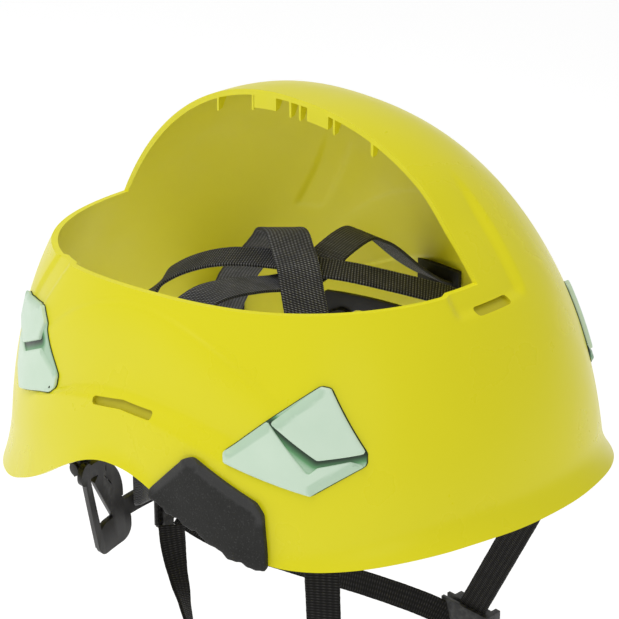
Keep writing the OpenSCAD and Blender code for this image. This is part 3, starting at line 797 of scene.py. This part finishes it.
def block(solid, corners, kind):
    faces = [(0, 1, 3, 2), (4, 6, 7, 5), (0, 4, 5, 1), (2, 3, 7, 6), (0, 2, 6, 4), (1, 5, 7, 3)]
    solid.add(corners, faces, kind)


def cutaway_block(reach=200, tall=150):
    """Everything that is cut away: right of CUT_X and above a sloping plane."""
    slope = math.tan(math.radians(CUT_SLOPE))
    corners = []
    for x in (CUT_X - reach, CUT_X):
        for y in (-reach, reach):
            low = CUT_HEIGHT - slope * y
            corners += [(x, y, low), (x, y, low + tall)]
    solid = Solid()
    block(solid, corners, 2)
    return solid


def rib_block(y, thick, depth):
    solid = Solid()
    run = 14
    points = []
    for k in range(run):
        t = k / (run - 1)
        yy = y + thick * (t - 0.5)
        z = CROWN * (1 - abs(yy / HALF_LENGTH) ** PROFILE_POWER) ** (1 / PROFILE_POWER) - WALL
        points += [(CUT_X, yy, z + 1), (CUT_X, yy, z - depth), (CUT_X + 2.2, yy, z - depth + 0.6),
                   (CUT_X + 5.5, yy, z + 1)]
    faces = grid_faces(run, 4, closed=True) + [(3, 2, 1, 0), tuple(range(run * 4 - 4, run * 4))]
    solid.add(points, faces, 2)
    return solid


def pocket_block(outline, place, depth):
    solid = Solid()
    # the pocket's faces take the darker yellow, painted shade in the recess
    plate(solid, outline, place, 6, kind=3, base=-depth, bevel=0.2, spacing=2.5)
    return solid


SIDE_SLOT = [(-15, 48.6), (-15, 44.6), (4, 43.4), (22, 39.4), (22, 43.2), (4, 47.4)]
FRONT_SLOT = [(-10, 94.7), (10, 94.6), (10.6, 98.4), (-9.8, 98.5)]


def build_shell():
    paints = [shell_paint, shell_inner, shell_cut, shell_recess_shade]
    shell = helper(dome_mesh(), "helmet_shell", paints)
    for rib in RIBS:
        boolean(shell, helper(rib_block(*rib), "rib", paints), "UNION")
    boolean(shell, helper(cutaway_block(), "cut", paints), "DIFFERENCE")
    for side in SIDES.values():
        slot = pocket_block(rounded(SIDE_SLOT, 1.8, 1.0), on_side(side), 1.7)
        boolean(shell, helper(slot, "slot", paints), "DIFFERENCE")
    slot = pocket_block(rounded(FRONT_SLOT, 1.7, 1.0), on_front, 1.7)
    boolean(shell, helper(slot, "slot", paints), "DIFFERENCE")
    data = shell.data
    bpy.data.objects.remove(shell, do_unlink=True)
    return finish_piece(data, "helmet_shell", [], "helmet", ["shell"], smooth=32)


# ---------------------------------------------------------------- covers and lamp clips

COVER = [
    (-19.5, 15.5), (-37, 35.5), (-41, 37.5), (-45, 36), (-72, 25.5), (-75.5, 21),
    (-79.5, -3), (-64, -1), (-46.5, 6.5), (-30, 11.5),
]
FRONT_UPPER = [(-71.5, 59), (-85.5, 75.5), (-89, 75), (-106, 51), (-101, 49.5), (-91.5, 47)]
FRONT_LOWER = [
    (-55.5, 39), (-54, 43), (-70, 59.5), (-89.5, 40.5),
    (-92, 44), (-102, 47.5), (-107, 46), (-91.5, 32),
]
REAR_UPPER = [(101, 57), (74, 63), (68, 58), (69, 50), (86, 41), (98, 47)]
REAR_LOWER = [(95, 43), (84, 38), (67, 47), (54, 40), (55, 32), (86, 20), (92, 28)]


def cover_outline():
    """The cover's outline, with small scallops along its lower edge."""
    outline = rounded(COVER, [3, 4, 4, 4, 4, 4, 2, 6, 6, 6], 1.0)
    low = (1 - step_up(14, 19, outline[:, 1])) * step_up(-80, -74, outline[:, 0])
    scallop = 0.5 * np.sin(outline[:, 0] * 0.62) + 0.25 * np.sin(outline[:, 0] * 1.45 + 1)
    outline[:, 1] += low * scallop
    return outline


def build_cover(name, side):
    top = either(
        near_edge(COVER[0], COVER[1], 3.0),
        near_edge(COVER[1], COVER[3], 3.0, 5),
        near_edge(COVER[3], COVER[4], 3.0, 4),
    )
    outline = cover_outline()

    # painted highlight on the sloped top edge, within 3.2 mm of the outline
    def lit_slope(flats):
        return (edge_distance(flats, outline) < 3.2) * step_up(15, 19, flats[:, 1])

    solid = Solid()
    plate(solid, outline, on_side(side), 3.0, chamfer=top, spacing=1.6, painted_light=lit_slope)
    return solid.piece(f"cover_{name}", [cover_black], "helmet", "cover_plastic", [f"slot_cover_{name}"])


def segment_distance(points, chain):
    best = np.full(len(points), 1e9)
    for a, b in zip(chain[:-1], chain[1:]):
        a, b = np.array(a, float), np.array(b, float)
        t = np.clip(((points - a) @ (b - a)) / ((b - a) @ (b - a)), 0, 1)
        best = np.minimum(best, np.linalg.norm(points - (a + t[:, None] * (b - a)), axis=1))
    return best


def build_clip(name, side, upper, lower, groove, chamfer_upper, chamfer_lower):
    """Two wedges over a thin base; the groove between them takes a lamp's strap."""
    place = on_side(side)
    solid = Solid()
    hull = rounded(convex_hull(upper + lower), 2.0, 1.2)
    # a dark sheet 0.35 mm wider than the clip, round its foot, painted as the clip's contact shadow
    shadow_rim = hull - inward(hull) * 0.35
    plate(solid, shadow_rim, place, 0.35, kind=1, base=0.02, bevel=0.1, spacing=3)

    # painted shade along the groove, strongest at the groove line and fading over about 5 mm
    def shade(flats):
        return 1 - 0.8 * step_up(0.2, 5.2, segment_distance(flats, groove))

    # painted shade: the sloped edges of each wedge are painted a little darker green
    def slope_shade(chamfer):
        return lambda flats: 0.13 * step_up(0.2, 0.8, chamfer(flats))

    plate(solid, hull, place, 0.8, base=0.05, bevel=0.2, spacing=1.0, painted_light=shade)
    for wedge, height, chamfer in ((lower, 1.7, chamfer_lower), (upper, 2.4, chamfer_upper)):
        plate(solid, rounded(wedge, 1.2, 0.9), place, height, chamfer=chamfer, spacing=1.2, painted_light=slope_shade(chamfer))
    paints = [clip_green, clip_shadow]
    return solid.piece(f"clip_{name}", paints, "helmet", "clip_plastic", [f"lamp_clip_{name}"])


def convex_hull(points):
    points = sorted(set(points))

    def half(sequence):
        out = []
        for p in sequence:
            while len(out) > 1 and ((out[-1][0] - out[-2][0]) * (p[1] - out[-2][1])
                                    - (out[-1][1] - out[-2][1]) * (p[0] - out[-2][0])) <= 0:
                out.pop()
            out.append(p)
        return out

    return half(points)[:-1] + half(points[::-1])[:-1]


def build_clips():
    for side_name, side in SIDES.items():
        build_clip(f"front_{side_name}", side, FRONT_UPPER, FRONT_LOWER,
                   [FRONT_UPPER[0], FRONT_UPPER[5], FRONT_UPPER[4], FRONT_UPPER[3]],
                   near_edge(FRONT_UPPER[0], FRONT_UPPER[1], 2.8, 5),
                   either(near_edge(FRONT_LOWER[1], FRONT_LOWER[2], 2.6, 5),
                          near_edge(FRONT_LOWER[6], FRONT_LOWER[7], 2.6, 5)))
        build_clip(f"rear_{side_name}", side, REAR_UPPER, REAR_LOWER,
                   [REAR_UPPER[3], REAR_UPPER[4], REAR_UPPER[5]],
                   near_edge(REAR_UPPER[0], REAR_UPPER[1], 2.4), near_edge(REAR_LOWER[2], REAR_LOWER[3], 2.4))


# ---------------------------------------------------------------- cradle

WEB_THICK = 1.5


def on_inner_wall(phi_degrees, z):
    phi = np.array([math.radians(phi_degrees)])
    p = skin(phi, np.array([float(z)]), np.array([-WALL]))[0]
    n = outward(p[None])[0]
    n = np.array([n[0], n[1], 0]) / np.hypot(n[0], n[1])
    return p - n * 4


def mirrored(p, side):
    return np.array([p[0] * -side, p[1], p[2]], float)


FRONT_ANCHOR, SIDE_ANCHOR = on_inner_wall(226, 26), on_inner_wall(176, 36)
REAR_ANCHOR, CHIN_ANCHOR = on_inner_wall(119, -8), on_inner_wall(221, 8)
LOW_ROUTE = [
    REAR_ANCHOR, (-46, 95, 28), (-34, 67, 53), (-31, 59, 64), (-25.5, 46, 73), (-19, 30, 79),
    (-10, 10, 81.5), (-5, -3, 81.5), (-1, -8, 80.5), (7, -20, 79.5), (16, -32, 77), (27, -47, 73.5),
    (35, -58, 70), (52, -76, 57), (66, -91, 40), mirrored(FRONT_ANCHOR, LEFT),
]
SIDE_ROUTE = [
    SIDE_ANCHOR, (-91, 13, 55), (-76, 10, 69), (-60, 7, 77), (-50, 5.5, 79.5), (-34, 2.5, 78.5),
    (-17, -1, 75.5), (-5, -3, 75), (6, -1, 76.5), (18, 1, 80.5), (35, 4, 82), (46, 6, 77),
    (57, 8, 69.5), (76, 11, 53), (92, 14, 41), mirrored(SIDE_ANCHOR, LEFT),
]
HIGH_ROUTE = [
    FRONT_ANCHOR, (-62, -80, 48), (-48, -60, 64), (-34, -40, 66), (-23, -24.5, 67.5), (-18, -16, 76),
    (-13, -8, 84), (-8, 0.5, 88), (-1, 12, 91), (5, 24, 87), (10, 34, 78), (22, 56, 60),
    (38, 86, 36), (51, 110, 10), mirrored(REAR_ANCHOR, LEFT),
]


def build_cradle():
    low = Solid()
    webbing(low, LOW_ROUTE, [(1, 0.7, 0)] * 2, 19, WEB_THICK)
    low.piece("cradle_rear_right_to_front_left", [rib_weave], "helmet", "cradle_webbing",
              ["cradle_strap_low"])
    side = Solid()
    line, wide, face = webbing(side, SIDE_ROUTE, [(0, 1, 0)] * 2, 19, WEB_THICK)
    stitch_line(side, line, wide, face, 0.0, -WEB_THICK / 2 - 0.05, 0.1, 0.46, 1)
    side.piece("cradle_side_to_side", [twill_weave, thread_grey], "helmet", "cradle_webbing",
               ["cradle_strap_side"])
    high = Solid()
    line, wide, face = webbing(high, HIGH_ROUTE, [(0.72, -0.69, 0)] * 2, 19, WEB_THICK)
    stitch_line(high, line, wide, face, 1.5, WEB_THICK / 2 + 0.05, 0.02, 0.5, 1)
    box_tack(high, line, wide, face, 0.445, WEB_THICK / 2 + 0.1, 2.6, 5.0, 1)
    high.piece("cradle_front_right_to_rear_left", [twill_weave, thread_grey], "helmet", "cradle_webbing",
               ["cradle_strap_high"])


# ---------------------------------------------------------------- chin straps

CHIN_WIDTH = 15.0
ADJUSTER = {RIGHT: np.array([-86.0, -104.0, -120.0]), LEFT: np.array([80.0, -30.0, -133.0])}
REAR_ROUTE = {
    RIGHT: [(-7.2, 89, -88), (-7.2, 88, -98), (-8, 85, -109), (-11, 78, -119), (-22, 56, -138),
            (-42, 18, -157), (-64, -34, -157), (-79, -78, -140), (-86, -98, -126)],
    LEFT: [(8.2, 100.6, -92), (21, 82, -104), (40, 48, -111.5), (57, 14, -116.5), (71, -10, -123),
           (80, -24, -130)],
}
REAR_ACROSS = {
    RIGHT: [(0.75, -0.65, 0), (0.75, 0.65, 0.1), (0.1, 0.9, 0.4), (0, 0.5, 0.8)] + [(0, 0.3, 1)] * 3,
    LEFT: [(0, 0.2, 1), (0, 0.3, 1)],
}
FRONT_ACROSS = {RIGHT: [(0.6, -0.8, 0), (0, -1, 0)], LEFT: [(0, 1, 0.2), (0, 1, 0)]}
LOWER_LENGTH = 84.0


def straight(a, b):
    return [a + (b - a) * t for t in np.linspace(0, 1, 5)]


def build_straps():
    for name, side in SIDES.items():
        body = f"straps_{name}"
        top = mirrored(CHIN_ANCHOR, side) + [side * -2, 2, -8]
        low = ADJUSTER[side] + [0, 0, 9]
        front, rear, lower = Solid(), Solid(), Solid()
        webbing(front, straight(top, low), FRONT_ACROSS[side], CHIN_WIDTH, WEB_THICK)
        front.piece(f"chin_strap_front_{name}", [chin_weave], body, "chin_webbing", [f"strap_front_{name}"])
        webbing(rear, REAR_ROUTE[side], REAR_ACROSS[side], CHIN_WIDTH - 2, WEB_THICK)
        rear.piece(f"chin_strap_rear_{name}", [chin_weave], body, "chin_webbing", [f"strap_rear_{name}"])
        start = ADJUSTER[side] + [0, 0, -10]
        end = ADJUSTER[side] + [0, 0, -15 - LOWER_LENGTH + 4]
        webbing(lower, straight(start, end), [(0, 1, 0)] * 2, CHIN_WIDTH, WEB_THICK)
        lower.piece(f"chin_strap_lower_{name}", [chin_weave], body, "chin_webbing", [f"strap_lower_{name}"])


def curved_band(solid, radius, centre_y, thick, width, z_from, z_to, rows=40):
    """Strip of webbing bent round the nape at one radius."""
    half = math.asin(width / 2 / radius)
    middle = (z_from + z_to) / 2
    turns = np.linspace(-half, half, rows)
    points = [(radius * math.sin(a), centre_y + radius * math.cos(a), middle) for a in turns]
    webbing(solid, points, [(0, 0, 1)] * 2, z_to - z_from, thick)


def build_nape_webbing():
    solid = Solid()
    curved_band(solid, 128.35, -26, WEB_THICK, 11, -94.5, -81.5, 10)
    solid.piece("nape_strap", [chin_weave], "nape", "chin_webbing", ["nape_webbing"])


# ---------------------------------------------------------------- pads

def pad(solid, place, width, height, thick, channels, spacing=1.0):
    """Crowned pad: place(u, v, d) puts it on its backing; channels are sewn lines across u."""
    us = np.arange(-width / 2, width / 2 + 0.01, spacing)
    vs = np.linspace(-height / 2, height / 2, max(8, int(height / spacing)))
    def half(sign):
        rows, uv = [], []
        for v in vs:
            round_v = max(0.0, 1 - (abs(v) / (height / 2)) ** 4) ** 0.5
            for u in us:
                round_u = max(0.0, 1 - (abs(u) / (width / 2)) ** 14) ** 0.5
                crown = round_v * round_u
                pinch = 1 - sum(0.55 * math.exp(-((u - c) / 1.3) ** 2) for c in channels)
                depth = thick * crown * pinch if sign > 0 else 0.0
                corner = 1 - 0.06 * (abs(v) / (height / 2)) ** 8 * (abs(u) > width / 2 - 6)
                rows.append(place(u * corner, v, 0.3 + depth))
                uv.append((u * MM, v * MM))
        return rows, uv
    front, uv = half(1)
    back, _ = half(-1)
    wide = len(us)
    faces = grid_faces(len(vs), wide)
    total = len(front)
    faces += [tuple(i + total for i in f)[::-1] for f in faces]
    edge = list(range(wide)) + [r * wide + wide - 1 for r in range(1, len(vs))]
    edge += [len(vs) * wide - 1 - i for i in range(1, wide)] + [r * wide for r in range(len(vs) - 2, 0, -1)]
    faces += [(a, b, b + total, a + total) for a, b in zip(edge, edge[1:] + edge[:1])]
    solid.add(front + back, faces, uv=uv + uv)


def build_pads():
    def brow(u, v, d):
        a = -math.pi / 2 + u / 96.0
        return ((80 - d) * math.cos(a), (104 - d) * math.sin(a) - 4, 13.5 + v)
    solid = Solid()
    pad(solid, brow, 168, 21, 5.4, [-56, -28, 0, 28, 56])
    brow_pad = solid.piece("brow_cushion", [pad_knit], "helmet", "pad_foam", ["brow_pad"], smooth=60)
    def nape(u, v, d):
        a = u / 130.0
        return ((130 - d) * math.sin(a), -26 + (130 - d) * math.cos(a), -68 + v)
    solid = Solid()
    pad(solid, nape, 40, 20, 5.2, [-7, 7])
    nape_pad = solid.piece("nape_cushion", [pad_knit], "nape", "pad_foam", ["nape_pad"], smooth=60)


# ---------------------------------------------------------------- hard plastic parts

def refined(node, body, material, bevel_mm=0.4, smooth=35):
    """A copy of a CAD part with moulded round edges, standing for the sharp one."""
    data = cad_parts[node].data.copy()
    data.materials.clear()
    work = bmesh.new()
    work.from_mesh(data)
    bmesh.ops.remove_doubles(work, verts=work.verts, dist=2e-6)
    bmesh.ops.dissolve_limit(work, angle_limit=math.radians(1.5), verts=work.verts, edges=work.edges)
    work.to_mesh(data)
    work.free()
    for name in [a.name for a in data.attributes if a.name.startswith("custom_normal")]:
        data.attributes.remove(data.attributes[name])
    thing = finish_piece(data, f"{node}_moulded", [material], body, [node], smooth)
    edge = thing.modifiers.new("edge", "BEVEL")
    edge.width = bevel_mm * MM
    edge.segments = 3
    edge.limit_method = "ANGLE"
    edge.angle_limit = math.radians(38)
    edge.use_clamp_overlap = True
    bake_modifiers(thing)
    thing.data.polygons.foreach_set("use_smooth", [True] * len(thing.data.polygons))
    thing.data.set_sharp_from_angle(angle=math.radians(smooth))
    return thing


def build_plastic():
    for name in SIDES:
        for place in ("front", "side", "rear"):
            refined(f"anchor_{place}_{name}", "helmet", anchor_plastic)
        refined(f"chin_anchor_{name}", "helmet", anchor_plastic)
        refined(f"side_arm_{name}", "helmet", band_plastic, 0.25)
        refined(f"arm_rivet_{name}", "helmet", rivet_plastic, 0.3)
        refined(f"wheel_{name}", f"wheel_{name}", wheel_plastic, 0.2)
        refined(f"adjuster_{name}", f"straps_{name}", fitting_plastic, 0.6)
        refined(f"lever_{name}", f"lever_{name}", fitting_plastic, 0.4)
    refined("headband", "helmet", band_plastic, 0.5)
    refined("nape_frame", "nape", band_plastic, 0.6)
    refined("buckle_plug", "straps_right", fitting_plastic, 0.7)
    refined("buckle_socket", "straps_left", fitting_plastic, 0.9)
    refined("buckle_button", "button", red_plastic, 0.6)


# ---------------------------------------------------------------- camera, light and floor

def build_camera():
    """Camera at the wearer's front right, a little above the helmet."""
    turn, lift, distance = math.radians(46.2), math.radians(25.1), 1.124
    back = Vector((-math.cos(turn) * math.cos(lift), -math.sin(turn) * math.cos(lift), math.sin(lift)))
    camera = bpy.data.objects.new("camera", bpy.data.cameras.new("camera"))
    bpy.context.scene.collection.objects.link(camera)
    camera.location = Vector((0, 0, 0.056)) + back * distance
    camera.rotation_mode = "QUATERNION"
    camera.rotation_quaternion = (-back).to_track_quat("-Z", "Y")
    camera.data.lens = 146.4
    camera.data.shift_x, camera.data.shift_y = 0.0039, 0.0029
    bpy.context.scene.camera = camera


def area_light(name, place, aim, size, power):
    data = bpy.data.lights.new(name, "AREA")
    data.shape, data.size, data.energy = "DISK", size, power
    lamp = bpy.data.objects.new(name, data)
    bpy.context.scene.collection.objects.link(lamp)
    lamp.location = place
    lamp.rotation_mode = "QUATERNION"
    lamp.rotation_quaternion = (Vector(aim) - Vector(place)).to_track_quat("-Z", "Y")


def build_studio():
    scene = bpy.context.scene
    scene.view_settings.view_transform = "Standard"
    scene.world = bpy.data.worlds.new("studio")
    scene.world.use_nodes = True
    sky = scene.world.node_tree.nodes["Background"]
    sky.inputs["Color"].default_value = (1, 1, 1, 1)
    sky.inputs["Strength"].default_value = 0.58
    area_light("key", (-0.7, 0.5, 1.9), (0, 0, 0), 1.4, 15)
    area_light("fill", (-1.6, -1.4, 0.7), (0, 0, 0), 1.2, 2)
    bottom = cad_box[0][2]
    floor = Solid()
    half = 9000
    floor.add([(-half, -half, 0), (half, -half, 0), (half, half, 0), (-half, half, 0)], [(0, 1, 2, 3)])
    data = floor.mesh("floor")
    data.materials.append(floor_material())
    ground = bpy.data.objects.new("floor", data)
    ground.location.z = bottom - 0.0005
    scene.collection.objects.link(ground)


build_camera()
build_studio()
build_shell()
for cover_name, cover_side in SIDES.items():
    build_cover(cover_name, cover_side)
build_clips()
build_cradle()
build_straps()
build_nape_webbing()
build_pads()
build_plastic()
